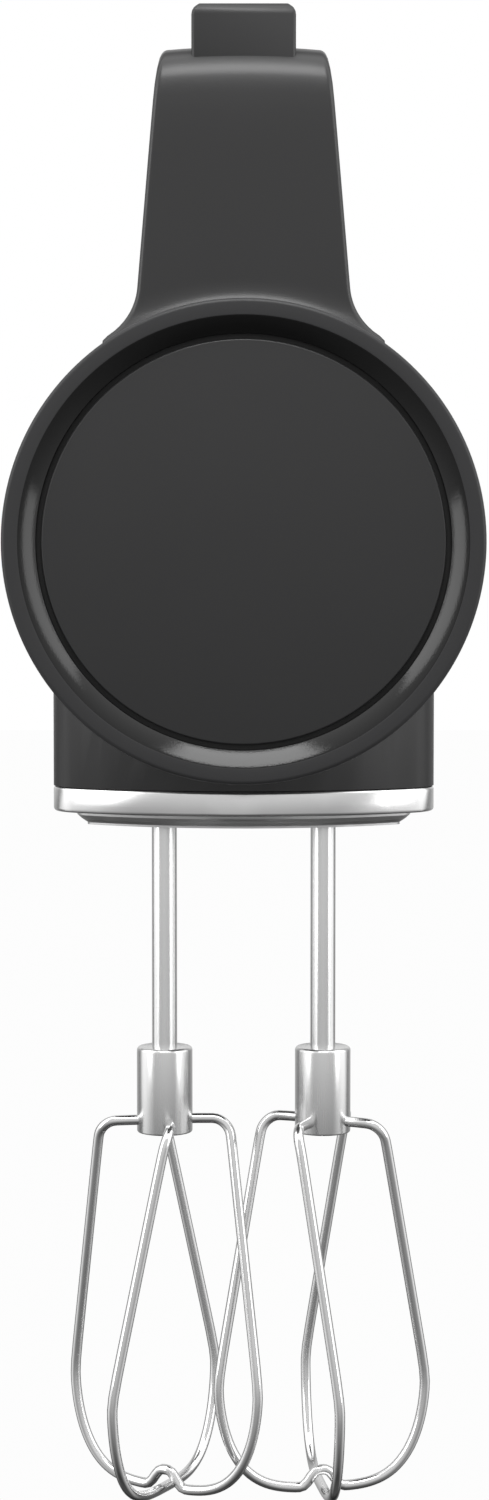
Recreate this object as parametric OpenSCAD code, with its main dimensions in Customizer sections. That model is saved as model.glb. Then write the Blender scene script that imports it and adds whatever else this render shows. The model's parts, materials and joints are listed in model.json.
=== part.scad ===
// Cordless hand mixer. Front is -Y, up is +Z, and the origin lies midway between the two
// beater sockets on the underside of the base plate.

/* [Body] */
// Outer radius of the front ring and of the drum behind it
ring_r = 58.2; // [54:0.1:72]
// Height of the drum's axis above the underside of the base plate
drum_z = 71; // [69:0.5:86]
// Distance from the beater plane forward to the face of the ring
ring_front = 42; // [38:0.5:52]
// Length of the drum behind the beater plane
drum_back = 62; // [54:0.5:76]
// Wall thickness of the moulded shells
wall = 2.4; // [1.6:0.1:2.9]
// Half width of the skirt and the metal band
base_hw = 48.3; // [44:0.1:58]
// Distance from the beater plane forward to the front of the band
base_front = 23; // [21:0.5:28]
// Height of the metal band
band_h = 6.4; // [5:0.1:8]
// Height of the base plate below the band
lip_h = 3.5; // [2.5:0.1:5]

/* [Handle] */
// Height of the top of the handle above the underside of the base plate
handle_top = 193.9; // [186:0.1:233]
// Half width of the handle at its top
handle_hw = 20.3; // [18:0.1:25]
// Half width of the neck where it meets the drum
neck_hw = 26.2; // [23:0.1:31]
// Thickness of the grip bar
grip_t = 34; // [28:0.5:40]
// Length of the finger gap behind the neck
gap_l = 82; // [70:0.5:98]

/* [Drive] */
// Distance between the two beater axes
pitch = 40.4; // [39:0.1:44]
// Teeth on each worm wheel
wheel_teeth = 24; // [20:2:28]
// Starts on the worm
worm_starts = 2; // [2:1:2]
// Height of the worm's axis
worm_z = 42; // [39:0.5:46]
// Thickness of the worm wheels
wheel_w = 7; // [5:0.5:8]
// Radius of the motor's metal can
can_r = 16; // [13:0.5:18]
// Radius of the motor shaft
shaft_r = 2.5; // [2:0.1:3]

/* [Beaters] */
// Radius of the beater shaft
beater_r = 3.2; // [2.6:0.05:3.4]
// Radius of the collar that holds the wires
ferrule_r = 7.1; // [6:0.1:8.5]
// Height of that collar
ferrule_h = 22; // [18:0.5:26]
// Distance from the base plate down to the collar
shaft_drop = 57; // [48:0.5:68]
// Radius of the wires
wire_r = 1.32; // [1:0.02:1.6]
// Largest radius of the wire cage
cage_r = 27; // [24:0.1:28]
// Height of the wires below the collar
cage_h = 94; // [80:0.5:112]

/* [Controls] */
// Half width of the eject button
button_hw = 12.8; // [10:0.1:16]
// Height of the eject button above the handle
button_h = 9; // [8:0.1:13]
// Travel of the eject button
eject_travel = 8; // [6:0.5:8]
// Travel of the speed slider
speed_travel = 18; // [12:0.5:20]

/* [Battery] */
// Half width of the battery pack
pack_hw = 30; // [26:0.5:36]
// Height of the battery pack
pack_h = 66; // [58:0.5:80]
// Length of the battery pack
pack_l = 62; // [56:0.5:74]

/* [Hidden] */
$fn = 64;
eps = 0.01;
fit = 0.05;
gap = 0.3;

band_z = lip_h;
skirt_z = band_z + band_h;
bow_r = 76;
corner_r = 12;
base_back = 36;
rear_r = 14;
ring_t = 9;
lip_in = 5.6;
lip_dish = 3;
lip_land = 0.5;
lip_steps = 3;
ring_back = -ring_front + ring_t;
drum_r = ring_r - 2;
disc_r = 48.7 / 58.2 * ring_r;
face_r = 54.2 / 58.2 * ring_r;
disc_recess = 2.6;

neck_y = 24;
neck_back = 8;
gap_z1 = handle_top - grip_t;
gap_y1 = neck_back + gap_l;
pillar_t = 27;
loop_back = gap_y1 + pillar_t;
split_z = gap_z1 + 12;
top_round = 12;
loop_round = 20;

wheel_r = pitch / 2 - 5.2;
module_t = 2 * wheel_r / wheel_teeth;
worm_r = pitch / 2 - wheel_r;
worm_lead = worm_starts * PI * module_t;
worm_l = 20;
case_t = 2.2;
case_r = wheel_r + 0.8 * module_t + 0.8 + case_t;
case_hy = case_r;
case_z0 = worm_z - 10;
case_z1 = worm_z + 12;

spindle_bore = beater_r + fit;
spindle_r = 5.2;
spindle_z0 = 1;
spindle_z1 = case_z1 + 9;
hub_r = spindle_r + 2.4;
bush_r = spindle_r + 2.2;
socket_r = 9;
beater_in = 24;
pin_r = 2.2;
pin_top = spindle_z1 + eject_travel + 2;
motor_y0 = case_hy + 2;
motor_l = drum_back - motor_y0 - 8.5;

bearing_r = 5.5;
backlash = 0.35;
magnet_l = 14;
commutator_r = 4.6;
commutator_y = motor_y0 + 4 + magnet_l + 0.5;
fan_r = can_r - 3;
detent_z = skirt_z + 4;

pin_gap = 0.05;
yoke_z = pin_top + pin_gap;
rod_y = -12;
skirt_h = eject_travel;
opening_h = skirt_h + eject_travel + 2;
shelf_z = handle_top - opening_h - 12;
speed_y = 20;

dock_y0 = drum_back;
dock_y1 = loop_back;
pack_z0 = drum_z - pack_h / 2 + 2;
pack_z1 = pack_z0 + pack_h;
pack_y0 = dock_y0 + 8;
pack_y1 = pack_y0 + pack_l;
pack_r = 8;
dock_wall = 2.6;
bay_gap = 0.4;
screw_r = 1.6;
screw_head_r = 2.6;
dock_screw = [22, 24];
latch_l = 9;
latch_h = 8;
latch_y = pack_y1 - latch_l - 4;

wire_turn = 46;
left_exit = 18;
right_exit = 52;
hump_h = 4.5;

// Points along an arc, from angle a0 to a1
function arc(c, r, a0, a1, n = 8) =
    [for (i = [0:n]) let (a = a0 + (a1 - a0) * i / n) [c[0] + r * cos(a), c[1] + r * sin(a)]];

function mirrored(points) = [for (i = [len(points) - 1:-1:0]) [-points[i][0], points[i][1]]];

// Plan of the skirt, band and base plate, drawn in by an inset d: bowed front, round corners
function base_plan(d) =
    let (
        hw = base_hw - d,
        bow = bow_r - d,
        rc = max(corner_r - d, 2),
        cy = -base_front + bow_r,
        cx = hw - rc,
        dy = cy - sqrt(pow(bow - rc, 2) - pow(cx, 2)),
        a = atan2(dy - cy, cx),
        rr = max(rear_r - d, 2),
        yr = base_back - d,
        half = concat(
            arc([0, cy], bow, -90, a, 18),
            arc([cx, dy], rc, a, 0, 10),
            arc([hw - rr, yr - rr], rr, 0, 90, 10)
        )
    )
    concat(half, mirrored(half));

// A plate or ring with the base's plan
module base_slab(d, z0, z1) {
    translate([0, 0, z0])
        linear_extrude(z1 - z0)
            polygon(base_plan(d));
}

// A cylinder or cone along +Y on the drum's axis, or at another height
module ycyl(r, y0, y1, r2 = -1, z = drum_z, x = 0) {
    translate([x, y0, z])
        rotate([-90, 0, 0])
            cylinder(h = y1 - y0, r1 = r, r2 = r2 < 0 ? r : r2);
}

module zcyl(r, z0, z1, x = 0, y = 0) {
    translate([x, y, z0])
        cylinder(h = z1 - z0, r = r);
}

module block(lo, hi) {
    translate(lo)
        cube(hi - lo);
}

// A shape turned round the drum's axis from [radius, distance back] points
module turned(points) {
    translate([0, 0, drum_z])
        rotate([-90, 0, 0])
            rotate_extrude($fn = 128)
                polygon(points);
}

module sides() {
    for (s = [-1, 1])
        translate([s * pitch / 2, 0, 0])
            children();
}

// ---- Front ----

module front_disc() {
    y = -ring_front + disc_recess;
    color("#303031")
        turned([[0, y], [disc_r - 0.6, y], [disc_r, y + 0.6], [disc_r, y + 3], [0, y + 3]]);
}

module front_ring() {
    y = -ring_front;
    lip_r = disc_r + 1.2;
    shelf_r = disc_r - 5;
    color("#3a3a3b")
        turned([
            [face_r, y], [ring_r - 1, y], [ring_r, y + 1], [ring_r, ring_back],
            [shelf_r, ring_back], [shelf_r, y + disc_recess + 3],
            [lip_r, y + disc_recess + 3], [lip_r, y + disc_recess]
        ]);
}

module ring_seal() {
    y = -ring_front + disc_recess;
    color("#0a0a0a")
        turned([[disc_r, y + 1.2], [disc_r + 1.2, y + 1.2], [disc_r + 1.2, y + 3], [disc_r, y + 3]]);
}

// ---- Housing ----

module main_housing() {
    flange_r = disc_r - 3;
    tail = 14;
    color("#2b2b2c")
        difference() {
            union() {
                ycyl(drum_r, ring_back, drum_back - tail);
                base_slab(0, skirt_z, drum_z - 8);
            }
            ycyl(drum_r - wall, ring_back + wall, drum_back - tail + 1);
            base_slab(wall, skirt_z - 1, drum_z - 8 + eps);
            ycyl(flange_r, ring_back - 1, ring_back + wall + 1);
            block([-6, rod_y - 5, drum_z + drum_r / 2], [6, rod_y + 5, drum_z + drum_r + 1]);
        }
}

module rear_housing() {
    y0 = drum_back - 14;
    tail_r = drum_r - 9;
    slot_w = 1.8;
    color("#2b2b2c")
        difference() {
            ycyl(drum_r, y0, drum_back, tail_r);
            ycyl(drum_r - wall, y0 - eps, drum_back - wall, tail_r - wall);
            for (s = [-1, 1], i = [0:5])
                block(
                    [s > 0 ? pack_hw + 6 : -pack_hw - 6 - 7, drum_back - 8, drum_z - 13 + i * 5],
                    [s > 0 ? pack_hw + 13 : -pack_hw - 6, drum_back + 1, drum_z - 13 + i * 5 + slot_w]
                );
            block([-7, drum_back - 5, drum_z + 8], [7, drum_back + 1, drum_z + 20]);
            dock_holes();
        }
}

// ---- Handle ----

// Side outline of the handle's loop as [back, up] points, drawn in by an inset d
function loop_side(d) =
    let (
        toe = 9 + d,
        toe_z = drum_z + ring_r + toe,
        rt = top_round - d,
        rb = loop_round - d,
        top = handle_top - d,
        low = drum_z + 20
    )
    concat(
        [[ring_back + d, low], [ring_back + d, toe_z - toe]],
        arc([-neck_y + d - toe, toe_z], toe, -80, 0, 6),
        arc([-neck_y + d + rt, top - rt], rt, 180, 90, 7),
        arc([loop_back - d - rb, top - rb], rb, 90, 0, 8),
        [[loop_back - d, pack_z1 + bay_gap + dock_wall], [loop_back - d, low]]
    );

// Side outline of the finger gap, grown by d
function gap_side(d) =
    let (r = 14 + d, y0 = neck_back - d, y1 = gap_y1 + d, top = gap_z1 + d)
    concat(
        [[y0, drum_z], [y0, top - r]],
        arc([y0 + r, top - r], r, 180, 90, 6),
        arc([y1 - r, top - r], r, 90, 0, 6),
        [[y1, drum_z]]
    );

// Front outline of the handle, with its flare into the drum when flared is true
function handle_front(d, flared) =
    let (
        flare = 14,
        flare_end = 242,
        foot_x = neck_hw + flare * (1 + cos(flare_end)),
        fz = drum_z + ring_r + 4,
        rc = 4 - d / 2,
        half = concat(
            flared
                ? arc([neck_hw + flare, fz], flare + d, flare_end, 180, 6)
                : [[neck_hw - d, drum_z], [neck_hw - d, fz]],
            arc([handle_hw - d - rc, handle_top - d - rc], rc, 0, 90, 5)
        ),
        foot = flared ? [[foot_x - d, drum_z]] : []
    )
    concat(foot, half, mirrored(concat(foot, half)));

module side_slab(points) {
    translate([-80, 0, 0])
        rotate([90, 0, 90])
            linear_extrude(160)
                polygon(points);
}

module front_slab(points, y0, y1) {
    translate([0, y1, 0])
        rotate([90, 0, 0])
            linear_extrude(y1 - y0)
                polygon(points);
}

// The handle's bar, neck and rear post as one solid, drawn in by an inset d
module handle_solid(d) {
    bow = 40;
    join_y = neck_back + 6;
    intersection() {
        difference() {
            side_slab(loop_side(d));
            side_slab(gap_side(d));
        }
        union() {
            intersection() {
                front_slab(handle_front(d, true), ring_back - 1, join_y);
                union() {
                    zcyl(bow - d, drum_z, handle_top + 1, 0, -neck_y + bow);
                    ycyl(ring_r - 1 - d, ring_back, join_y);
                }
            }
            front_slab(handle_front(d, false), join_y - eps, loop_back + 1);
        }
    }
}

module grip_zone(d) {
    block([-60, neck_back + 10 - d, gap_z1 - 20], [60, gap_y1 - 14 + d, split_z + d]);
}

module handle_shell() {
    button_y = [rod_y - 8, rod_y + 12];
    slot_y = speed_y + 5;
    dock_top = pack_z1 + bay_gap + dock_wall;
    color("#38383a")
        difference() {
            union() {
                difference() {
                    handle_solid(0);
                    handle_solid(wall);
                }
                intersection() {
                    handle_solid(0.5);
                    block([-40, rod_y - 9, shelf_z - 3], [40, neck_back, shelf_z]);
                }
            }
            ycyl(drum_r, ring_back - 1, drum_back - 14);
            ycyl(drum_r, drum_back - 14, drum_back, drum_r - 9);
            block([-60, drum_back - 1, drum_z - 10], [60, loop_back + 1, dock_top]);
            grip_zone(0);
            block(
                [-button_hw - gap, button_y[0] - gap, handle_top - opening_h],
                [button_hw + gap, button_y[1] + gap, handle_top + 1]
            );
            block(
                [-3.3, slot_y - gap, handle_top - wall - 1],
                [3.3, slot_y + 8 + speed_travel + gap, handle_top + 1]
            );
            block([-5, rod_y - 2.5, drum_z + 30], [5, rod_y + 2.5, shelf_z + 1]);
            block([-6, gap_y1 + 8, dock_top - 1], [6, gap_y1 + 16, dock_top + 8]);
        }
}

module handle_grip() {
    color("#232324")
        difference() {
            intersection() {
                handle_solid(0);
                grip_zone(-0.1);
            }
            handle_solid(wall);
        }
}

// ---- Base ----

module socket_holes(r) {
    sides()
        zcyl(r, -1, skirt_z + 2);
}

module base_band() {
    color("#c9c9c9")
        difference() {
            base_slab(0, band_z, skirt_z);
            base_slab(4, band_z - 1, skirt_z + 1);
        }
}

// A thin slab of the base plate's dished lip, at a share t of its height
module lip_slab(t, z0, z1) {
    z = lip_land + (lip_h - lip_land) * t;
    base_slab(lip_in + lip_dish * (1 - sin(90 * t)), z + z0, z + z1);
}

module base_plate() {
    color("#b4b4b5")
        difference() {
            union() {
                base_slab(lip_in + lip_dish, 0, lip_land);
                for (i = [0:lip_steps - 1])
                    hull() {
                        lip_slab(i / lip_steps, 0, eps);
                        lip_slab((i + 1) / lip_steps, -eps, 0);
                    }
                base_slab(4 + fit, band_z, band_z + 2);
            }
            socket_holes(socket_r);
            for (s = [-1, 1], y = [4, 22]) {
                zcyl(screw_r, -1, band_z + 3, s * (base_hw - 13), y);
                zcyl(screw_head_r + 0.2, -1, 1.6, s * (base_hw - 13), y);
            }
        }
}

module socket_collars() {
    color("#1c1c1d")
        sides()
            difference() {
                union() {
                    zcyl(socket_r, 0.4, band_z + 2);
                    zcyl(socket_r + 2, band_z + 2, band_z + 4);
                }
                zcyl(spindle_r + 0.6, -1, band_z + 5);
            }
}

// ---- Gear case ----

// The gear case's plan as a slab, drawn in by an inset d
module case_slab(d, z0, z1) {
    union() {
        sides()
            zcyl(case_r - d, z0, z1);
        block([-pitch / 2, -case_r + d, z0], [pitch / 2, case_r - d, z1]);
    }
}

module gear_case() {
    color("#4a4f52")
        difference() {
            case_slab(0, case_z0, case_z1);
            case_slab(case_t, case_z0 + case_t, case_z1 + 1);
            sides()
                zcyl(bush_r, case_z0 - 1, case_z0 + case_t + 1);
            ycyl(bearing_r, -case_hy - 1, case_hy + 1, z = worm_z);
        }
}

module gear_lid() {
    color("#4a4f52")
        difference() {
            case_slab(0, case_z1, case_z1 + case_t);
            sides()
                zcyl(bush_r, case_z1 - 1, case_z1 + case_t + 1);
        }
}

module spindle_bushes() {
    color("#a87b3e")
        sides()
            for (z = [case_z0 - 1, case_z1 - 1.5])
                difference() {
                    zcyl(bush_r, z, z + case_t + 2.5);
                    zcyl(spindle_r + fit, z - 1, z + case_t + 4);
                }
}

// ---- Motor ----

// Holes for the screws that join the dock to the rear housing
module dock_holes() {
    for (x = [-1, 1], z = [-1, 1]) {
        at_z = drum_z + 2 + z * dock_screw[1];
        ycyl(screw_r, dock_y0 - 5, pack_y0, z = at_z, x = x * dock_screw[0]);
        ycyl(screw_head_r + 0.2, pack_y0 - 3.5, pack_y0, z = at_z, x = x * dock_screw[0]);
    }
}

module motor_can() {
    y1 = motor_y0 + motor_l - 5;
    color("#8c8f92")
        difference() {
            ycyl(can_r, motor_y0, y1, z = worm_z);
            ycyl(can_r - 1.2, motor_y0 + 1.5, y1 + 1, z = worm_z);
            ycyl(bearing_r + 1, motor_y0 - 1, motor_y0 + 2, z = worm_z);
        }
}

module motor_end_bell() {
    y0 = motor_y0 + motor_l - 5;
    color("#3f3f40")
        difference() {
            union() {
                ycyl(can_r, y0, y0 + 3, z = worm_z);
                ycyl(bearing_r + 2, y0, y0 + 5, z = worm_z);
            }
            ycyl(bearing_r, y0 - 1, y0 + 6, z = worm_z);
        }
}

module motor_magnets() {
    y0 = motor_y0 + 4;
    color("#2c2c2e")
        difference() {
            ycyl(can_r - 1.3, y0, y0 + magnet_l, z = worm_z);
            ycyl(can_r - 4, y0 - 1, y0 + magnet_l + 1, z = worm_z);
            for (s = [-1, 1])
                block([-can_r, y0 - 1, worm_z - 4], [can_r, y0 + magnet_l + 1, worm_z + 4]);
        }
}

module brush_holders() {
    y = commutator_y + 1.5;
    color("#b08a4a")
        for (s = [-1, 1])
            translate([s * (commutator_r + gap + 2.6), y + 2, worm_z])
                cube([5.2, 4, 5], center = true);
}

module motor_bearings() {
    color("#b9bcc0")
        for (y = [-case_hy, case_hy - case_t, motor_y0 + motor_l - 5])
            difference() {
                ycyl(bearing_r, y, y + case_t, z = worm_z);
                ycyl(shaft_r + fit, y - 1, y + case_t + 1, z = worm_z);
            }
}

module motor_mounts() {
    y0 = motor_y0 + 2;
    color("#161617")
        for (y = [y0, y0 + 18])
            difference() {
                ycyl(can_r + 2, y, y + 4, z = worm_z);
                ycyl(can_r, y - 1, y + 5, z = worm_z);
            }
}

module motor_shaft() {
    color("#c6c9cc")
        difference() {
            ycyl(shaft_r, -case_hy - 1, drum_back - 3.5, z = worm_z);
            translate([0, -case_hy - 1, worm_z])
                rotate([90, 0, 0])
                    cylinder(h = 1, r = shaft_r, center = true);
        }
}

// Radius of the worm at a distance x along its axis from the middle of a thread
function worm_edge(x) =
    let (
        half = PI * module_t / 4 - backlash / 2,
        rise = (half - abs(x)) / tan(20)
    )
    worm_r + min(0.8 * module_t, max(-1.2 * module_t, rise));

module worm() {
    n = 16;
    y0 = -worm_l / 2;
    step = 180 * 2 / worm_starts / n;
    section = [
        for (s = [0:worm_starts - 1], i = [0:n - 1])
            let (
                a = (i - n / 2) * step,
                r = worm_edge(a / 360 * worm_lead),
                t = a + s * 360 / worm_starts
            )
            [r * cos(t), r * sin(t)]
    ];
    color("#a6a9ad")
        difference() {
            translate([0, y0, worm_z])
                rotate([-90, 0, 0])
                    rotate([0, 0, -90 + 360 * y0 / worm_lead])
                        linear_extrude(worm_l, twist = -360 * worm_l / worm_lead, slices = 40, $fn = 0)
                            polygon(section);
            ycyl(shaft_r, y0 - 1, y0 + worm_l + 1, z = worm_z);
        }
}

module armature() {
    y0 = motor_y0 + 4;
    r = can_r - 4.5;
    slots = 5;
    color("#8a5a34")
        difference() {
            ycyl(r, y0, y0 + magnet_l, z = worm_z);
            ycyl(shaft_r, y0 - 1, y0 + magnet_l + 1, z = worm_z);
            for (i = [0:slots - 1])
                translate([0, y0 - 1, worm_z])
                    rotate([0, i * 360 / slots, 0])
                        translate([-1, 0, r - 3])
                            cube([2, magnet_l + 2, 4]);
        }
}

module commutator() {
    color("#b87333")
        difference() {
            ycyl(commutator_r, commutator_y, commutator_y + 6, z = worm_z);
            ycyl(shaft_r, commutator_y - 1, commutator_y + 7, z = worm_z);
        }
}

module cooling_fan() {
    y0 = motor_y0 + motor_l + 0.8;
    blades = 9;
    color("#d8d4c4")
        difference() {
            union() {
                ycyl(5, y0, y0 + 3.5, z = worm_z);
                ycyl(fan_r, y0, y0 + 0.8, z = worm_z);
                for (i = [0:blades - 1])
                    translate([0, y0, worm_z])
                        rotate([0, i * 360 / blades, 0])
                            translate([4, 0.4, -0.4])
                                cube([fan_r - 5, 2.8, 0.8]);
            }
            ycyl(shaft_r, y0 - 1, y0 + 5, z = worm_z);
        }
}

// ---- Spindles ----

module wheel(x) {
    steps = [
        [-1.25, 1.35], [0, 1], [0.8, 0.68]
    ];
    tooth = 360 / wheel_teeth;
    half = tooth / 4 - backlash / 2 / wheel_r * 180 / PI;
    outline = [
        for (i = [0:wheel_teeth - 1], k = [-3:2])
            let (
                s = k < 0 ? steps[k + 3] : steps[2 - k],
                a = i * tooth + (k < 0 ? -1 : 1) * half * s[1],
                r = wheel_r + s[0] * module_t
            )
            [r * cos(a), r * sin(a)]
    ];
    lean = wheel_w * module_t * worm_starts / 2 / worm_r / wheel_r * 180 / PI;
    color("#e8e2cc")
        translate([x, 0, worm_z])
            difference() {
                union() {
                    rotate([0, 0, -lean / 2])
                        translate([0, 0, -wheel_w / 2])
                            linear_extrude(wheel_w, twist = -lean, slices = 5, $fn = 0)
                                polygon(outline);
                    zcyl(hub_r, -wheel_w / 2 - 2, wheel_w / 2 + 2);
                }
                zcyl(spindle_r, -wheel_w, wheel_w);
            }
}

module left_worm_wheel() {
    wheel(-pitch / 2);
}

module right_worm_wheel() {
    wheel(pitch / 2);
}

module spindle(x) {
    color("#bfc2c5")
        difference() {
            zcyl(spindle_r, spindle_z0, spindle_z1, x);
            zcyl(spindle_bore, spindle_z0 - 1, spindle_z1 + 1, x);
            translate([x, 0, detent_z])
                rotate_extrude()
                    translate([spindle_r - 0.8, 0])
                        square([2, 1.8]);
        }
}

module left_spindle() {
    spindle(-pitch / 2);
}

module right_spindle() {
    spindle(pitch / 2);
}

module detent_ring(x) {
    color("#9aa0a5")
        translate([x, 0, detent_z + 0.1])
            rotate([0, 0, 30])
                rotate_extrude(angle = 300)
                    translate([spindle_r - 0.8 + fit, 0])
                        square([1.2, 1.6]);
}

module left_detent_ring() {
    detent_ring(-pitch / 2);
}

module right_detent_ring() {
    detent_ring(pitch / 2);
}

module push_pin(x) {
    color("#d9dadb")
        union() {
            zcyl(pin_r, beater_in + pin_gap, pin_top - 1.5, x);
            zcyl(pin_r + 1.4, pin_top - 1.5, pin_top, x);
        }
}

module left_push_pin() {
    push_pin(-pitch / 2);
}

module right_push_pin() {
    push_pin(pitch / 2);
}

// ---- Beaters ----

module beater_shaft(x) {
    color("#c3c4c5")
        difference() {
            zcyl(beater_r, -shaft_drop - ferrule_h + 4, beater_in, x);
            for (a = [0:90:270])
                translate([x, 0, beater_in - 9])
                    rotate([0, 0, a])
                        translate([beater_r - 0.5, -0.6, 0])
                            cube([2, 1.2, 6]);
        }
}

module left_beater_shaft() {
    beater_shaft(-pitch / 2);
}

module right_beater_shaft() {
    beater_shaft(pitch / 2);
}

module ferrule(x) {
    z1 = -shaft_drop;
    color("#c3c4c5")
        translate([x, 0, 0])
            rotate_extrude()
                polygon([
                    [beater_r, z1], [ferrule_r - 0.8, z1], [ferrule_r, z1 - 0.8],
                    [ferrule_r, z1 - ferrule_h + 0.5], [ferrule_r - 0.5, z1 - ferrule_h],
                    [0, z1 - ferrule_h], [0, z1 - ferrule_h + 4], [beater_r, z1 - ferrule_h + 4]
                ]);
}

module left_ferrule() {
    ferrule(-pitch / 2);
}

module right_ferrule() {
    ferrule(pitch / 2);
}

// Height of the hump in a hooked wire at a distance r from the beater's axis
function hump(r) =
    let (t = min(1, max(0, (4.8 - r) / 3.2)))
    hump_h * t * t * (3 - 2 * t);

// One wire from the collar down to the beater's axis: leaves at angle a, leans by s * turn
function wire_side(a, s, hook) =
    let (
        ze = -shaft_drop - ferrule_h + 3.2,
        zb = -shaft_drop - ferrule_h - 0.68 * cage_h,
        z_low = -shaft_drop - ferrule_h - cage_h + wire_r,
        bend = 5,
        re = cage_r - 10,
        elbow = [
            for (t = [90:-20:10])
                [re - bend + bend * cos(t), ze - bend + bend * sin(t), a + s * (18 - t / 10)]
        ],
        e = elbow[len(elbow) - 1],
        b_angle = a + s * wire_turn,
        p0 = [e[0] * cos(e[2]), e[0] * sin(e[2]), e[1]],
        p1 = [cage_r * cos(b_angle), cage_r * sin(b_angle), zb],
        low = [
            for (i = [1:11])
                let (u = 90 * sin(i * 90 / 11.6), r = cage_r * pow(cos(u), 0.55))
                [r, zb + (z_low - zb) * sin(u)]
        ],
        centre = [for (r = [7.4, 6, 4.9, 4.1, 3.3, 2.4, 1.3]) [r, z_low + 0.02]]
    )
    concat(
        [[2 * cos(a), 2 * sin(a), ze]],
        [for (p = elbow) [p[0] * cos(p[2]), p[0] * sin(p[2]), p[1]]],
        [for (i = [1:6]) p0 + (p1 - p0) * i / 6],
        [
            for (p = concat([for (q = low) if (q[0] > 8.4) q], centre))
                [p[0] * cos(b_angle), p[0] * sin(b_angle), p[1] + (hook ? hump(p[0]) : 0)]
        ]
    );

function unit(v) = v / norm(v);

// A round wire swept along points that stay near one upright plane with the normal side
module swept(points, r, side, n = 8) {
    count = len(points);
    rings = [
        for (i = [0:count - 1])
            let (
                t = unit(points[min(i + 1, count - 1)] - points[max(i - 1, 0)]),
                u = unit(cross(t, side)),
                v = cross(u, t)
            )
            for (k = [0:n - 1])
                points[i] + r * (u * cos(k * 360 / n) + v * sin(k * 360 / n))
    ];
    faces = concat(
        [[for (k = [0:n - 1]) k]],
        [[for (k = [n - 1:-1:0]) (count - 1) * n + k]],
        [
            for (i = [0:count - 2], k = [0:n - 1])
                let (a = i * n + k, b = i * n + (k + 1) % n)
                each [[a, a + n, b], [b, a + n, b + n]]
        ]
    );
    polyhedron(rings, faces);
}

module wire_loop(x, a, s, hook) {
    one = wire_side(a, s, hook);
    two = wire_side(a + 180, s, hook);
    low = one[len(one) - 1];
    centre = [0, 0, low[2]];
    middle = a + s * wire_turn * 0.6 + 90;
    points = concat(one, [centre], [for (i = [len(two) - 1:-1:0]) two[i]]);
    color("#cfd0d1")
        translate([x, 0, 0])
            difference() {
                swept(points, wire_r, [cos(middle), sin(middle), 0]);
                zcyl(ferrule_r, -shaft_drop - ferrule_h, -shaft_drop);
            }
}

module left_plain_wire() {
    wire_loop(-pitch / 2, left_exit + 90, -1, false);
}

module right_plain_wire() {
    wire_loop(pitch / 2, right_exit, 1, false);
}

module left_hooked_wire() {
    wire_loop(-pitch / 2, left_exit, -1, true);
}

module right_hooked_wire() {
    wire_loop(pitch / 2, right_exit + 90, 1, true);
}

// ---- Eject ----

module eject_button() {
    z1 = handle_top + button_h;
    y0 = rod_y - 8;
    y1 = rod_y + 12;
    r = 3;
    color("#2f2f30")
        difference() {
            intersection() {
                block([-button_hw, y0, handle_top - skirt_h], [button_hw, y1, z1]);
                front_slab(
                    concat(
                        [[button_hw, handle_top - skirt_h - 1]],
                        arc([button_hw - r, z1 - r], r, 0, 90, 5),
                        arc([-button_hw + r, z1 - r], r, 90, 180, 5),
                        [[-button_hw, handle_top - skirt_h - 1]]
                    ),
                    y0 - 1, y1 + 1
                );
                side_slab(
                    concat(
                        [[y0, handle_top - skirt_h - 1]],
                        arc([y0 + r, z1 - r], r, 180, 90, 5),
                        arc([y1 - r, z1 - r], r, 90, 0, 5),
                        [[y1, handle_top - skirt_h - 1]]
                    )
                );
            }
            block([-4, rod_y - 1.5, handle_top - skirt_h - 1], [4, rod_y + 1.5, handle_top - 2]);
        }
}

module eject_yoke() {
    arm = 3;
    color("#d7d2c0")
        union() {
            block([-4, rod_y - 1.5, yoke_z + arm], [4, rod_y + 1.5, handle_top - 2]);
            block([-pitch / 2 - 5, rod_y - 2, yoke_z], [pitch / 2 + 5, rod_y + 2, yoke_z + arm]);
            sides()
                block([-4, rod_y - 2, yoke_z], [4, 4, yoke_z + arm]);
        }
}

// A coil spring with its axis along +Z
module coil(x, y, z0, z1, r, wire, turns) {
    per_turn = 12;
    count = turns * per_turn;
    points = [
        for (i = [0:count])
            [r * cos(i * 360 / per_turn), r * sin(i * 360 / per_turn), (z1 - z0 - 2 * wire) * i / count]
    ];
    translate([x, y, z0 + wire])
        swept(points, wire, [0, 0, 1], 6);
}

module eject_spring() {
    color("#a9adb0")
        coil(0, rod_y, shelf_z + gap, handle_top - skirt_h - gap, 6, 0.5, 6);
}

// ---- Speed control ----

module speed_slider() {
    z = handle_top + gap;
    y0 = speed_y;
    color("#9fa1a3")
        union() {
            difference() {
                block([-8, y0, z], [8, y0 + 18, z + 3.6]);
                for (i = [0:4])
                    block([-6, y0 + 3 + i * 2.6, z + 3], [6, y0 + 4.2 + i * 2.6, z + 4]);
            }
            block([-2.8, y0 + 5.3, handle_top - wall - 2], [2.8, y0 + 12.7, z]);
            block([-5, y0 + 4, handle_top - wall - 3.5], [5, y0 + 14, handle_top - wall - 1.5]);
        }
}

module speed_board() {
    z = handle_top - wall - 8;
    y1 = speed_y + speed_travel + 20;
    color("#2f6b3c")
        union() {
            block([-8, speed_y, z], [8, y1, z + 1.6]);
            block([-3, speed_y + 2, z + 1.6], [3, y1 - 2, z + 2.6]);
            block([-6, y1 - 12, z - 4], [6, y1 - 3, z]);
        }
}

module control_board() {
    z = drum_z + 24;
    y0 = 8;
    board_l = 34;
    color("#2f6b3c")
        union() {
            block([-26, y0, z], [26, y0 + board_l, z + 1.6]);
            for (x = [-14, 0, 14])
                zcyl(4, z + 1.6, z + 9, x, y0 + 26);
            block([-20, y0 + 4, z + 1.6], [-6, y0 + 14, z + 4]);
            block([6, y0 + 4, z + 1.6], [18, y0 + 14, z + 4]);
        }
}

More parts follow.
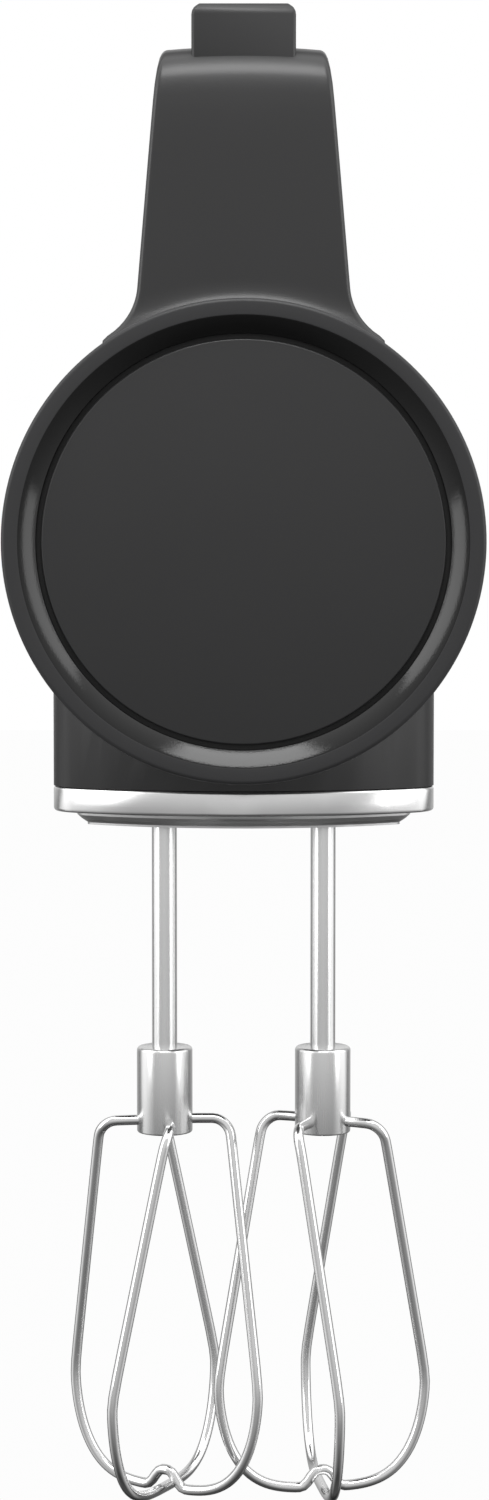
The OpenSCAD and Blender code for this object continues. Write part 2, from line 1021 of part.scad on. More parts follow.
module motor_leads() {
    color("#7a1f1f")
        for (s = [-1, 1])
            swept(
                [
                    for (t = [0:0.1:1])
                        [
                            s * (12 + 3 * sin(t * 180)),
                            motor_y0 + motor_l + 2 - 12 * t,
                            worm_z + can_r - 5 + (drum_z + 22.5 - worm_z - can_r + 5) * t
                        ]
                ],
                0.9, [1, 0, 0], 8
            );
}

// ---- Battery ----

// A block along +Y with rounded long edges, grown by d
module pack_block(d, y0, y1) {
    r = pack_r + d;
    hw = pack_hw + d;
    z0 = pack_z0 - d;
    z1 = pack_z1 + d;
    front_slab(
        concat(
            arc([hw - r, z0 + r], r, -90, 0, 6),
            arc([hw - r, z1 - r], r, 0, 90, 6),
            arc([-hw + r, z1 - r], r, 90, 180, 6),
            arc([-hw + r, z0 + r], r, 180, 270, 6)
        ),
        y0, y1
    );
}

module battery_dock() {
    out = bay_gap + dock_wall;
    color("#2b2b2c")
        difference() {
            union() {
                pack_block(out, dock_y0, dock_y1);
                block([-11, dock_y0, pack_z1], [11, dock_y1, pack_z1 + out]);
            }
            pack_block(bay_gap, pack_y0 - 1, dock_y1 + 1);
            block([-14, dock_y0 - 1, drum_z - 6], [14, pack_y0, drum_z + 16]);
            dock_holes();
        }
}

module dock_contacts() {
    color("#c9a24a")
        union() {
            block([-14, dock_y0 + 1, drum_z - 6], [14, dock_y0 + 3, drum_z + 16]);
            for (x = [-9, -3, 3, 9])
                block([x - 0.5, dock_y0 + 3, drum_z + 1], [x + 0.5, pack_y0 + 2.6, drum_z + 9]);
        }
}

module battery_case() {
    t = 2;
    rear = pack_y1 - t;
    latch_x = pack_hw - 3;
    color("#262627")
        difference() {
            pack_block(0, pack_y0, pack_y1);
            difference() {
                pack_block(-t, pack_y0 + t, rear);
                for (s = [-1, 1])
                    block(
                        [s > 0 ? latch_x - t - 1 : -pack_hw, latch_y - t - 1, drum_z - latch_h - t],
                        [s > 0 ? pack_hw : -latch_x + t + 1, pack_y1, drum_z + latch_h + t]
                    );
            }
            for (s = [-1, 1])
                block(
                    [s > 0 ? latch_x - 1 : -pack_hw - 1, latch_y - gap, drum_z - latch_h - gap],
                    [s > 0 ? pack_hw + 1 : -latch_x + 1, latch_y + latch_l + gap, drum_z + latch_h + gap]
                );
            for (x = [-9, -3, 3, 9])
                block([x - 1, pack_y0 - 1, drum_z - 3], [x + 1, pack_y0 + 3, drum_z + 12]);
            translate([0, pack_y1 - 1, drum_z + 22])
                rotate([-90, 0, 0])
                    cylinder(h = 3, r = 2.5);
        }
}

module battery_cells() {
    r = 9;
    y0 = pack_y0 + 8;
    cell_l = pack_l - 24;
    color("#3d6fa8")
        for (x = [-1, 1], z = [-1, 1])
            ycyl(r, y0, y0 + cell_l, z = drum_z + 2 + z * (r + 0.6), x = x * (r + 0.6));
}

module battery_contacts() {
    color("#c9a24a")
        for (x = [-9, -3, 3, 9], s = [-1, 1])
            block(
                [x + (s > 0 ? 0.55 : -0.85), pack_y0 + 0.6, drum_z - 1],
                [x + (s > 0 ? 0.85 : -0.55), pack_y0 + 6, drum_z + 10]
            );
}

module latch(s) {
    x0 = pack_hw - 1.8;
    x1 = pack_hw + 0.8;
    color("#8f9193")
        difference() {
            block(
                [s > 0 ? x0 : -x1, latch_y, drum_z - latch_h],
                [s > 0 ? x1 : -x0, latch_y + latch_l, drum_z + latch_h]
            );
            for (i = [-2:2])
                block(
                    [s > 0 ? x1 - 0.5 : -x1 - 1, latch_y + 1.5, drum_z + i * 3 - 0.6],
                    [s > 0 ? x1 + 1 : -x1 + 0.5, latch_y + latch_l - 1.5, drum_z + i * 3 + 0.6]
                );
        }
}

module left_latch() {
    latch(-1);
}

module right_latch() {
    latch(1);
}

module latch_springs() {
    x0 = pack_hw - 3.95;
    x1 = pack_hw - 3.6;
    color("#a9adb0")
        for (s = [-1, 1])
            block(
                [s > 0 ? x0 : -x1, latch_y + 0.5, drum_z - 3],
                [s > 0 ? x1 : -x0, latch_y + latch_l - 0.5, drum_z + 3]
            );
}

module charge_lens() {
    color("#dfe6e8")
        ycyl(2.45, pack_y1 - 1, pack_y1 + 0.4, z = drum_z + 22);
}

module heel_feet() {
    color("#141415")
        for (x = [-1, 1], z = [-1, 1])
            ycyl(4, pack_y1, pack_y1 + 2, z = drum_z + 2 + z * (pack_h / 2 - 9), x = x * (pack_hw - 9));
}

// ---- Fasteners ----

// A pan-head screw with a cross recess, pointing along +Z from its head
module screw(head_r, shank_r, shank_l) {
    difference() {
        union() {
            zcyl(head_r, 0, 1.4);
            zcyl(shank_r, 1.4, 1.4 + shank_l);
        }
        for (a = [0, 90])
            rotate([0, 0, a])
                block([-head_r * 0.6, -0.35, -1], [head_r * 0.6, 0.35, 0.8]);
    }
}

module base_screws() {
    color("#8c8f92")
        for (s = [-1, 1], y = [4, 22])
            translate([s * (base_hw - 13), y, 0.15])
                screw(screw_head_r, screw_r - fit, band_z + 3);
}

module dock_screws() {
    color("#8c8f92")
        for (x = [-1, 1], z = [-1, 1])
            translate([x * dock_screw[0], pack_y0 - 2, drum_z + 2 + z * dock_screw[1]])
                rotate([90, 0, 0])
                    screw(screw_head_r, screw_r - fit, 8);
}

front_disc();
front_ring();
ring_seal();
main_housing();
rear_housing();
handle_shell();
handle_grip();
base_band();
base_plate();
socket_collars();
gear_case();
gear_lid();
spindle_bushes();
motor_can();
motor_end_bell();
motor_magnets();
brush_holders();
motor_bearings();
motor_mounts();
motor_shaft();
worm();
armature();
commutator();
cooling_fan();
left_worm_wheel();
right_worm_wheel();
left_spindle();
right_spindle();
left_detent_ring();
right_detent_ring();
left_push_pin();
right_push_pin();
left_beater_shaft();
right_beater_shaft();
left_ferrule();
right_ferrule();
left_plain_wire();
right_plain_wire();
left_hooked_wire();
right_hooked_wire();
eject_button();
eject_yoke();
eject_spring();
speed_slider();
speed_board();
control_board();
motor_leads();
battery_dock();
dock_contacts();
battery_case();
battery_cells();
battery_contacts();
left_latch();
right_latch();
latch_springs();
charge_lens();
heel_feet();
base_screws();
dock_screws();
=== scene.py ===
import json
import math

import bmesh
import bpy
from mathutils import Matrix, Vector
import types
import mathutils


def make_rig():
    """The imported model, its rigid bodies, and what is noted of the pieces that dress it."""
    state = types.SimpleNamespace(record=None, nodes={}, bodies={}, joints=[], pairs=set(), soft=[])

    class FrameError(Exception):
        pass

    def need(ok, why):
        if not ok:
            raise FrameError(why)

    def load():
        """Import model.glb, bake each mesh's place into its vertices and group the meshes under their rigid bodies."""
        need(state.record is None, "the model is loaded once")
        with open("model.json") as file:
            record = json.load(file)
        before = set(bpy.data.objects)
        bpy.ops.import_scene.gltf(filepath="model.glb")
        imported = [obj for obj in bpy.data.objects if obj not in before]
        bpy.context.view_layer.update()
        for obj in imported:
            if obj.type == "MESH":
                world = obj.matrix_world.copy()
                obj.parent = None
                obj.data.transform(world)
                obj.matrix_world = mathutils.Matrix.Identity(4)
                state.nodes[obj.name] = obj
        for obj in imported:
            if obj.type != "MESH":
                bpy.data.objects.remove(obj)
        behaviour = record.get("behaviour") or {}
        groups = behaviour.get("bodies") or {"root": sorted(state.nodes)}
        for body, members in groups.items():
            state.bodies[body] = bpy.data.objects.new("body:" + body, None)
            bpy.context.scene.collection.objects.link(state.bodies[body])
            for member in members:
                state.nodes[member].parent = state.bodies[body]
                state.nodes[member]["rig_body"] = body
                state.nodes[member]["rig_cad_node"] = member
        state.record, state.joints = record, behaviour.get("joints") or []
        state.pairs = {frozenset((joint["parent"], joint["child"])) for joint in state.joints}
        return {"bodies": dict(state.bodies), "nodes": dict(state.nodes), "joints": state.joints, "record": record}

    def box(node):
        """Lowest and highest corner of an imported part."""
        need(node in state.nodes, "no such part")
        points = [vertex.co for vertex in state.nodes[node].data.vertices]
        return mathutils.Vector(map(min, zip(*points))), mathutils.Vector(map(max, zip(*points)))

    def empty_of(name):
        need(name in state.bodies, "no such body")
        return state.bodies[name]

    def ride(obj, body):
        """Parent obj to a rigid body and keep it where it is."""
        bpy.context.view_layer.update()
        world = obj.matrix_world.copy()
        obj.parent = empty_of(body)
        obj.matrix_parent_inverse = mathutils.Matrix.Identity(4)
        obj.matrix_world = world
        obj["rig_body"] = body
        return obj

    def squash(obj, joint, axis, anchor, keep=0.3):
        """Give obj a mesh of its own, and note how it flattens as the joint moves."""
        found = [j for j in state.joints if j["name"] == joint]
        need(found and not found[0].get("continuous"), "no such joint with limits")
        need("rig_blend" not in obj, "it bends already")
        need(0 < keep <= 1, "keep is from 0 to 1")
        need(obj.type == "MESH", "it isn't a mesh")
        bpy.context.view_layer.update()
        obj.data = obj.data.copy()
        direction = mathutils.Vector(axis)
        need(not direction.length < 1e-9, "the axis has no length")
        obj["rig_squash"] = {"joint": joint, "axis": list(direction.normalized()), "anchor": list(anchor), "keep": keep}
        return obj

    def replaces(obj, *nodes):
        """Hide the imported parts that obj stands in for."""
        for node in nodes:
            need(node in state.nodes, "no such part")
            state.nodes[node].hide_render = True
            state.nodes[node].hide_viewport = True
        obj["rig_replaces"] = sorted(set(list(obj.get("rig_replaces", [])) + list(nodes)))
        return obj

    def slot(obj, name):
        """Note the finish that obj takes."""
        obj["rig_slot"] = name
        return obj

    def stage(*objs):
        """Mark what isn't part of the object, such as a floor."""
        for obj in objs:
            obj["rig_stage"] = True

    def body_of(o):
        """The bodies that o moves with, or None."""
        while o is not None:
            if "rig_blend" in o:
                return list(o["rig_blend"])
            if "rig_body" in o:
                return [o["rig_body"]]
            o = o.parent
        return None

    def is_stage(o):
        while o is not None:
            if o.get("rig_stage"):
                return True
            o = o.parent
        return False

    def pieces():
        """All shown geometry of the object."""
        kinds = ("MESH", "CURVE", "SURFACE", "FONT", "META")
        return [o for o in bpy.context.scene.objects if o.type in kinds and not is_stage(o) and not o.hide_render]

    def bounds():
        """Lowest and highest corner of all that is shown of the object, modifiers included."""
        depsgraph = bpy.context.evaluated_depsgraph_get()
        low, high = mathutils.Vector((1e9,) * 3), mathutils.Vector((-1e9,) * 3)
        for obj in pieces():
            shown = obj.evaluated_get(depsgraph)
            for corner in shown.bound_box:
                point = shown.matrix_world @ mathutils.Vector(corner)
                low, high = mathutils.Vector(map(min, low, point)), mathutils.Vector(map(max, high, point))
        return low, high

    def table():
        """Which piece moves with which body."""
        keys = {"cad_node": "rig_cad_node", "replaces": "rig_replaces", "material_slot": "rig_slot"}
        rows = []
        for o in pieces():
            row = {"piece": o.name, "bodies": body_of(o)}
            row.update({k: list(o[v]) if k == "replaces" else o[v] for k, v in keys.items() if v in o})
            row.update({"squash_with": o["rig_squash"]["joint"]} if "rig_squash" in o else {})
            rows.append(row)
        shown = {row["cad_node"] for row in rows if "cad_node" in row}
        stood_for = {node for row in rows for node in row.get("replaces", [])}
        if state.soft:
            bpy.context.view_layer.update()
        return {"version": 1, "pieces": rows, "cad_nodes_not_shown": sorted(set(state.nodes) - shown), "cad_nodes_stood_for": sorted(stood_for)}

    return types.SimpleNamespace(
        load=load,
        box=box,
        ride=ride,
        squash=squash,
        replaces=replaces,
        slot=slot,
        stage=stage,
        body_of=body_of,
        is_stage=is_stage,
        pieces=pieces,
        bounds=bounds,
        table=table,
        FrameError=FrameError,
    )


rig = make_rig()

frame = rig.load()
cad_low, cad_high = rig.bounds()

# ---- Camera, floor and light ----
# The mixer is held upright in mid air in front of the camera, which stands a little above the
# base plate and looks slightly down. The floor is a pale sweep below the beaters, which the
# metal doesn't mirror.

scene = bpy.context.scene
scene.view_settings.view_transform = "Standard"

EYE_SIDE = 0.0002
EYE_AWAY = 0.761
EYE_HEIGHT = 0.064
LOOK_DOWN = math.radians(3.4)

lens_data = bpy.data.cameras.new("eye")
lens_data.lens = 72
lens_data.sensor_width = 36
eye = bpy.data.objects.new("eye", lens_data)
eye.location = (EYE_SIDE, -EYE_AWAY, EYE_HEIGHT)
eye.rotation_euler = (math.radians(90) - LOOK_DOWN, 0, 0)
scene.collection.objects.link(eye)
scene.camera = eye


def new_material(name):
    """A node material, with its nodes, its links and its shader."""
    material = bpy.data.materials.new(name)
    material.use_nodes = True
    nodes = material.node_tree.nodes
    return material, nodes, material.node_tree.links, nodes["Principled BSDF"]


def light_sky():
    """White to the eye; as light, brightest at the sides, dark behind and dimmer towards the floor."""
    world = bpy.data.worlds.new("studio")
    scene.world = world
    world.use_nodes = True
    nodes, links = world.node_tree.nodes, world.node_tree.links
    room = nodes["Background"]
    white = nodes.new("ShaderNodeBackground")
    white.inputs["Color"].default_value = (1, 1, 1, 1)
    coords = nodes.new("ShaderNodeTexCoord")
    split = nodes.new("ShaderNodeSeparateXYZ")
    links.new(coords.outputs["Generated"], split.inputs[0])
    front_to_back = nodes.new("ShaderNodeValToRGB")
    ramp = front_to_back.color_ramp
    tones = (
        (0.0, 0.95), (0.16, 0.75), (0.34, 1.0), (0.45, 1.9), (0.62, 1.9), (0.74, 0.22),
        (1.0, 0.05),
    )
    for place, tone in tones[2:]:
        ramp.elements.new(place).color = (tone, tone, tone, 1)
    for end, (place, tone) in zip((0, 1), tones[:2]):
        ramp.elements[end].position = place
        ramp.elements[end].color = (tone, tone, tone, 1)
    shift = nodes.new("ShaderNodeMath")
    shift.operation = "MULTIPLY_ADD"
    shift.inputs[1].default_value = 0.5
    shift.inputs[2].default_value = 0.5
    links.new(split.outputs["Y"], shift.inputs[0])
    links.new(shift.outputs[0], front_to_back.inputs["Fac"])
    links.new(front_to_back.outputs["Color"], room.inputs["Color"])
    low_to_high = nodes.new("ShaderNodeMapRange")
    for name, value in (("From Min", -0.9), ("From Max", 0.4), ("To Min", 0.04), ("To Max", 0.98)):
        low_to_high.inputs[name].default_value = value
    links.new(split.outputs["Z"], low_to_high.inputs["Value"])
    links.new(low_to_high.outputs[0], room.inputs["Strength"])
    path = nodes.new("ShaderNodeLightPath")
    mix = nodes.new("ShaderNodeMixShader")
    links.new(path.outputs["Is Camera Ray"], mix.inputs["Fac"])
    links.new(room.outputs[0], mix.inputs[1])
    links.new(white.outputs[0], mix.inputs[2])
    links.new(mix.outputs[0], nodes["World Output"].inputs["Surface"])


def soft_box(name, place, target, size, power):
    """A large rectangular studio lamp at a place, turned to face a target."""
    data = bpy.data.lights.new(name, "AREA")
    data.shape = "RECTANGLE"
    data.size, data.size_y = size
    data.energy = power
    lamp = bpy.data.objects.new(name, data)
    lamp.location = place
    lamp.rotation_euler = (Vector(target) - Vector(place)).to_track_quat("-Z", "Y").to_euler()
    scene.collection.objects.link(lamp)


FLOOR_DROP = 0.12


def pale_floor():
    """A wide pale floor, low enough that the beaters hang clear of it."""
    bm = bmesh.new()
    bmesh.ops.create_grid(bm, x_segments=1, y_segments=1, size=6)
    bmesh.ops.translate(bm, verts=bm.verts, vec=(0, 0, cad_low.z - FLOOR_DROP))
    mesh = bpy.data.meshes.new("floor")
    bm.to_mesh(mesh)
    bm.free()
    floor = bpy.data.objects.new("floor", mesh)
    scene.collection.objects.link(floor)
    material, nodes, links, shader = new_material("pale_floor")
    shader.inputs["Base Color"].default_value = (0.3, 0.3, 0.3, 1)
    shader.inputs["Roughness"].default_value = 0.9
    bright = nodes.new("ShaderNodeEmission")
    bright.inputs["Color"].default_value = (0.98, 0.98, 0.98, 1)
    unseen = nodes.new("ShaderNodeBsdfTransparent")
    path = nodes.new("ShaderNodeLightPath")
    mirrored = nodes.new("ShaderNodeMixShader")
    links.new(path.outputs["Is Glossy Ray"], mirrored.inputs["Fac"])
    links.new(shader.outputs[0], mirrored.inputs[1])
    links.new(unseen.outputs[0], mirrored.inputs[2])
    mix = nodes.new("ShaderNodeMixShader")
    links.new(path.outputs["Is Camera Ray"], mix.inputs["Fac"])
    links.new(mirrored.outputs[0], mix.inputs[1])
    links.new(bright.outputs[0], mix.inputs[2])
    links.new(mix.outputs[0], nodes["Material Output"].inputs["Surface"])
    mesh.materials.append(material)
    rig.stage(floor)


light_sky()
pale_floor()
soft_box("left_box", (-1.0, -0.55, 0.35), (0, 0, 0.05), (0.35, 1.0), 3.0)
soft_box("right_box", (1.0, -0.55, 0.3), (0, 0, 0.0), (0.3, 1.0), 2.2)
soft_box("top_box", (0, -0.6, 1.1), (0, -0.04, 0.02), (0.68, 0.45), 6.0)

# ---- Front ring, front disc and the seal between them ----
# The ring is a turned-looking moulding with a fine satin face and a glossy inner chamfer; the
# disc is a plain pressed-in cover. Both clip to the front of the drum round a rubber seal.


def in_out(group, inputs, outputs):
    """Gives a node group its named inputs with their values, and its named outputs."""
    for name, value in inputs.items():
        socket = group.interface.new_socket(name, in_out="INPUT", socket_type="NodeSocketFloat")
        socket.default_value = value
    for name in outputs:
        group.interface.new_socket(name, in_out="OUTPUT", socket_type="NodeSocketFloat")
    nodes = group.nodes
    return nodes, group.links, nodes.new("NodeGroupInput"), nodes.new("NodeGroupOutput")


def arithmetic(nodes, links, operation, a, b):
    """One sum on two sockets or numbers; returns its result."""
    node = nodes.new("ShaderNodeMath")
    node.operation = operation
    for socket, value in zip(node.inputs, (a, b)):
        if isinstance(value, (int, float)):
            socket.default_value = value
        else:
            links.new(value, socket)
    return node.outputs[0]


def noise(nodes, links, vector, scale, detail=3):
    """Noise on a vector; returns its value from 0 to 1."""
    node = nodes.new("ShaderNodeTexNoise")
    node.inputs["Detail"].default_value = detail
    links.new(vector, node.inputs["Vector"])
    if isinstance(scale, (int, float)):
        node.inputs["Scale"].default_value = scale
    else:
        links.new(scale, node.inputs["Scale"])
    return node.outputs[0]


def make_moulded_grain():
    """The fine spark-eroded grain of a moulding: a height, and a slow drift in tone."""
    group = bpy.data.node_groups.new("moulded_grain", "ShaderNodeTree")
    nodes, links, given, out = in_out(group, {"Grain Scale": 2600.0}, ("Height", "Tone"))
    coords = nodes.new("ShaderNodeTexCoord").outputs["Object"]
    fine = noise(nodes, links, coords, given.outputs["Grain Scale"], 4)
    slow = noise(nodes, links, coords, 18.0, 3)
    links.new(fine, out.inputs["Height"])
    links.new(slow, out.inputs["Tone"])
    return group


def make_drawn_lines():
    """Fine lines that run round or along a metal piece: stretched noise as a height and a tone."""
    group = bpy.data.node_groups.new("drawn_lines", "ShaderNodeTree")
    nodes, links, given, out = in_out(
        group, {"Across": 900.0, "Along": 20.0, "Upright": 900.0}, ("Height", "Tone")
    )
    coords = nodes.new("ShaderNodeTexCoord").outputs["Object"]
    stretch = nodes.new("ShaderNodeCombineXYZ")
    for index, name in enumerate(("Across", "Along", "Upright")):
        links.new(given.outputs[name], stretch.inputs[index])
    product = nodes.new("ShaderNodeVectorMath")
    product.operation = "MULTIPLY"
    links.new(coords, product.inputs[0])
    links.new(stretch.outputs[0], product.inputs[1])
    links.new(noise(nodes, links, product.outputs[0], 1.0, 2), out.inputs["Height"])
    links.new(noise(nodes, links, coords, 40.0, 2), out.inputs["Tone"])
    return group


MOULDED_GRAIN = make_moulded_grain()
DRAWN_LINES = make_drawn_lines()


def blended(nodes, links, factor, dark, light):
    """A colour between two, by a factor from 0 to 1."""
    mix = nodes.new("ShaderNodeMix")
    mix.data_type = "RGBA"
    mix.inputs["A"].default_value = (*dark, 1)
    mix.inputs["B"].default_value = (*light, 1)
    links.new(factor, mix.inputs["Factor"])
    return mix.outputs["Result"]


def ranged(nodes, links, factor, low, high):
    """A number between two, by a factor from 0 to 1."""
    node = nodes.new("ShaderNodeMapRange")
    node.inputs["To Min"].default_value = low
    node.inputs["To Max"].default_value = high
    links.new(factor, node.inputs["Value"])
    return node.outputs[0]


def raised(nodes, links, height, strength, distance):
    """A bump from a height; returns its normal."""
    bump = nodes.new("ShaderNodeBump")
    bump.inputs["Strength"].default_value = strength
    bump.inputs["Distance"].default_value = distance
    links.new(height, bump.inputs["Height"])
    return bump.outputs["Normal"]


def plastic(name, colour, rough=0.42, grain=2600.0, depth=0.00004, spread=0.12, coat=0.0):
    """A moulded plastic or rubber: grain, slight drift of tone and gloss."""
    material, nodes, links, shader = new_material(name)
    grained = nodes.new("ShaderNodeGroup")
    grained.node_tree = MOULDED_GRAIN
    grained.inputs["Grain Scale"].default_value = grain
    tone = grained.outputs["Tone"]
    dark = tuple(c * (1 - spread) for c in colour)
    light = tuple(c * (1 + spread) for c in colour)
    links.new(blended(nodes, links, tone, dark, light), shader.inputs["Base Color"])
    links.new(ranged(nodes, links, tone, rough - 0.04, rough + 0.04), shader.inputs["Roughness"])
    links.new(raised(nodes, links, grained.outputs["Height"], 0.35, depth), shader.inputs["Normal"])
    shader.inputs["Coat Weight"].default_value = coat
    return material


def metal(name, colour, rough=0.3, lines=(900, 20, 900), depth=0.00002, spread=0.06):
    """A bare or plated metal with drawn, turned or brushed lines."""
    material, nodes, links, shader = new_material(name)
    lined = nodes.new("ShaderNodeGroup")
    lined.node_tree = DRAWN_LINES
    for socket, value in zip(("Across", "Along", "Upright"), lines):
        lined.inputs[socket].default_value = value
    tone = lined.outputs["Tone"]
    dark = tuple(c * (1 - spread) for c in colour)
    light = tuple(min(1, c * (1 + spread)) for c in colour)
    shader.inputs["Metallic"].default_value = 1
    links.new(blended(nodes, links, tone, dark, light), shader.inputs["Base Color"])
    height = lined.outputs["Height"]
    links.new(ranged(nodes, links, height, rough - 0.05, rough + 0.05), shader.inputs["Roughness"])
    links.new(raised(nodes, links, height, 0.3, depth), shader.inputs["Normal"])
    return material

NODES = frame["nodes"]
DRUM_Z = (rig.box("front_ring")[0].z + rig.box("front_ring")[1].z) / 2
RING_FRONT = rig.box("front_ring")[0].y
RING_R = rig.box("front_ring")[1].x
DISC_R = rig.box("front_disc")[1].x
DISC_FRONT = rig.box("front_disc")[0].y


def finished(name, bm, material, body, slot, stands_for=()):
    """Turns a bmesh into a piece that rides on a body, faces outwards and shades smoothly."""
    bmesh.ops.remove_doubles(bm, verts=bm.verts, dist=1e-6)
    bmesh.ops.recalc_face_normals(bm, faces=bm.faces)
    mesh = bpy.data.meshes.new(name)
    bm.to_mesh(mesh)
    bm.free()
    mesh.shade_smooth()
    mesh.set_sharp_from_angle(angle=math.radians(40))
    mesh.materials.append(material)
    piece = bpy.data.objects.new(name, mesh)
    scene.collection.objects.link(piece)
    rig.ride(piece, body)
    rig.slot(piece, slot)
    if stands_for:
        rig.replaces(piece, *stands_for)
    return piece


def lathe(profile, centre, axis, roundings=(), steps=128):
    """A bmesh turned from a closed outline of (radius, distance along the axis) points.
    roundings gives the radius and the number of segments at some corners."""
    bm = bmesh.new()
    verts = [bm.verts.new((r, 0, d)) for r, d in profile]
    face = bm.faces.new(verts)
    for index, radius, segments in roundings:
        bmesh.ops.bevel(
            bm, geom=[verts[index]], offset=radius, offset_type="OFFSET", segments=segments,
            profile=0.5, affect="VERTICES", material=-1,
        )
    edges = list(bm.edges)
    bmesh.ops.delete(bm, geom=list(bm.faces), context="FACES_ONLY")
    bmesh.ops.spin(
        bm, geom=edges, cent=(0, 0, 0), axis=(0, 0, 1), angle=math.tau, steps=steps,
        use_merge=True,
    )
    turn = Vector(axis).to_track_quat("Z", "Y").to_matrix().to_4x4()
    bmesh.ops.transform(bm, matrix=Matrix.Translation(centre) @ turn, verts=bm.verts)
    return bm


def ring_material_with_painted_shade():
    """Satin black with a polished chamfer: gloss changes with the distance from the drum's axis, and the chamfer's base
    colour is darkened as painted shade.
    """
    material = plastic("ring_black", (0.026, 0.026, 0.027), rough=0.4)
    nodes, links = material.node_tree.nodes, material.node_tree.links
    shader = nodes["Principled BSDF"]
    coords = nodes.new("ShaderNodeTexCoord").outputs["Object"]
    split = nodes.new("ShaderNodeSeparateXYZ")
    links.new(coords, split.inputs[0])
    up = arithmetic(nodes, links, "SUBTRACT", split.outputs["Z"], DRUM_Z)
    square = arithmetic(
        nodes, links, "ADD",
        arithmetic(nodes, links, "MULTIPLY", split.outputs["X"], split.outputs["X"]),
        arithmetic(nodes, links, "MULTIPLY", up, up),
    )
    radius = arithmetic(nodes, links, "SQRT", square, 0)
    inside = arithmetic(nodes, links, "LESS_THAN", radius, FACE_R)
    links.new(ranged(nodes, links, inside, 0.4, 0.08), shader.inputs["Roughness"])
    satin = shader.inputs["Base Color"].links[0].from_socket
    shader.inputs["Specular IOR Level"].default_value = 0.38
    # Painted shade: the chamfer inside FACE_R gets a near-black base colour so it reads dark where it turns away from
    # the top light; its low roughness is the real polish.
    base_with_painted_chamfer_shade = blended(nodes, links, inside, (0, 0, 0), (0.006, 0.006, 0.006))
    links.new(satin, base_with_painted_chamfer_shade.node.inputs["A"])
    links.new(base_with_painted_chamfer_shade, shader.inputs["Base Color"])
    return material


FACE_R = RING_R * 54.2 / 58.2
LIP_R = DISC_R + 0.0012
SHELF_R = DISC_R - 0.005
RING_THICK = 0.009
COVER_THICK = 0.003
depth = DISC_FRONT - RING_FRONT
finished(
    "front_rim",
    lathe(
        [(FACE_R, 0), (RING_R, 0), (RING_R, -RING_THICK), (SHELF_R, -RING_THICK),
         (SHELF_R, -depth - COVER_THICK), (LIP_R, -depth - COVER_THICK), (LIP_R, -depth)],
        (0, RING_FRONT, DRUM_Z), (0, -1, 0),
        [(0, 0.0003, 3), (1, 0.0011, 5), (2, 0.0008, 4), (6, 0.0002, 2)], 192,
    ),
    ring_material_with_painted_shade(), "housing", "ring_black", ["front_ring"],
)
finished(
    "front_cover",
    lathe(
        [(0, 0), (DISC_R, 0), (DISC_R, -COVER_THICK), (0, -COVER_THICK)],
        (0, DISC_FRONT, DRUM_Z), (0, -1, 0), [(1, 0.0005, 4)], 192,
    ),
    plastic("cover_black", (0.016, 0.016, 0.0165), rough=0.32, depth=0.00002),
    "housing", "matte_black", ["front_disc"],
)
NODES["ring_seal"].data.materials.clear()
NODES["ring_seal"].data.materials.append(plastic("seal_rubber", (0.004, 0.004, 0.004), rough=0.7))

# ---- Drum, skirt, rear housing and battery dock ----
# Glass-filled nylon mouldings in the same satin black. Their outside edges are softened as a
# mould leaves them; they are held by screws from inside the battery bay.

MOULD_BLACK = plastic("mould_black", (0.021, 0.021, 0.0215), rough=0.38)


def softened(node, name, material, body, slot, edge, flat=2.0, segments=3):
    """A clean copy of a CAD node's mesh with its sharp edges rounded."""
    bm = bmesh.new()
    bm.from_mesh(NODES[node].data)
    bmesh.ops.remove_doubles(bm, verts=bm.verts, dist=2e-6)
    bmesh.ops.dissolve_limit(
        bm, angle_limit=math.radians(flat), verts=bm.verts, edges=bm.edges,
        delimit={"NORMAL"} if flat < 0.5 else set(),
    )
    mesh = bpy.data.meshes.new(name)
    bm.to_mesh(mesh)
    bm.free()
    mesh.shade_smooth()
    mesh.materials.append(material)
    piece = bpy.data.objects.new(name, mesh)
    scene.collection.objects.link(piece)
    rounding = piece.modifiers.new("edges", "BEVEL")
    rounding.width = edge
    rounding.segments = segments
    rounding.limit_method = "ANGLE"
    rounding.angle_limit = math.radians(38)
    rounding.harden_normals = True
    rounding.use_clamp_overlap = True
    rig.ride(piece, body)
    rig.slot(piece, slot)
    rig.replaces(piece, node)
    return piece


softened("main_housing", "drum_and_skirt", MOULD_BLACK, "housing", "matte_black", 0.0006)
softened("rear_housing", "drum_tail", MOULD_BLACK, "housing", "matte_black", 0.0006)
softened("battery_dock", "battery_bay", MOULD_BLACK, "housing", "matte_black", 0.0007)

# ---- Handle ----
# One moulded loop: the neck rises from behind the ring, turns into the bar and comes down on
# the dock. A softer rubber pad is over-moulded under the bar for the fingers.

NECK_FRONT = -0.024
NECK_BACK = 0.008
HANDLE_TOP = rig.box("handle_shell")[1].z
LOOP_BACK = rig.box("handle_shell")[1].y
GAP_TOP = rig.box("handle_grip")[0].z
POST_DEPTH = 0.027
GAP_BACK = LOOP_BACK - POST_DEPTH
INNER_R = 0.014
NECK_FOOT = 0.112
POST_FOOT = 0.1095


def smooth_step(low, high, value):
    """0 below low, 1 above high, and an even S between them."""
    t = min(1, max(0, (value - low) / (high - low)))
    return t * t * (3 - 2 * t)


TOP_HW = 0.0208
TAPER = 0.086
EASE_IN = 0.0011
EASE_DEPTH = 0.014


def half_width(z):
    """Half the handle's width at a height: a straight taper that eases in at the very top."""
    below = HANDLE_TOP - z
    return TOP_HW + TAPER * below - EASE_IN * max(0, 1 - below / EASE_DEPTH) ** 2


FLARE_R = 0.014
FLARE_RISE = 0.004


def flare(z):
    """How far the neck spreads sideways near the ring."""
    t = min(max(0, DRUM_Z + RING_R + FLARE_RISE - z), 0.88 * FLARE_R)
    return FLARE_R - math.sqrt(FLARE_R * FLARE_R - t * t)


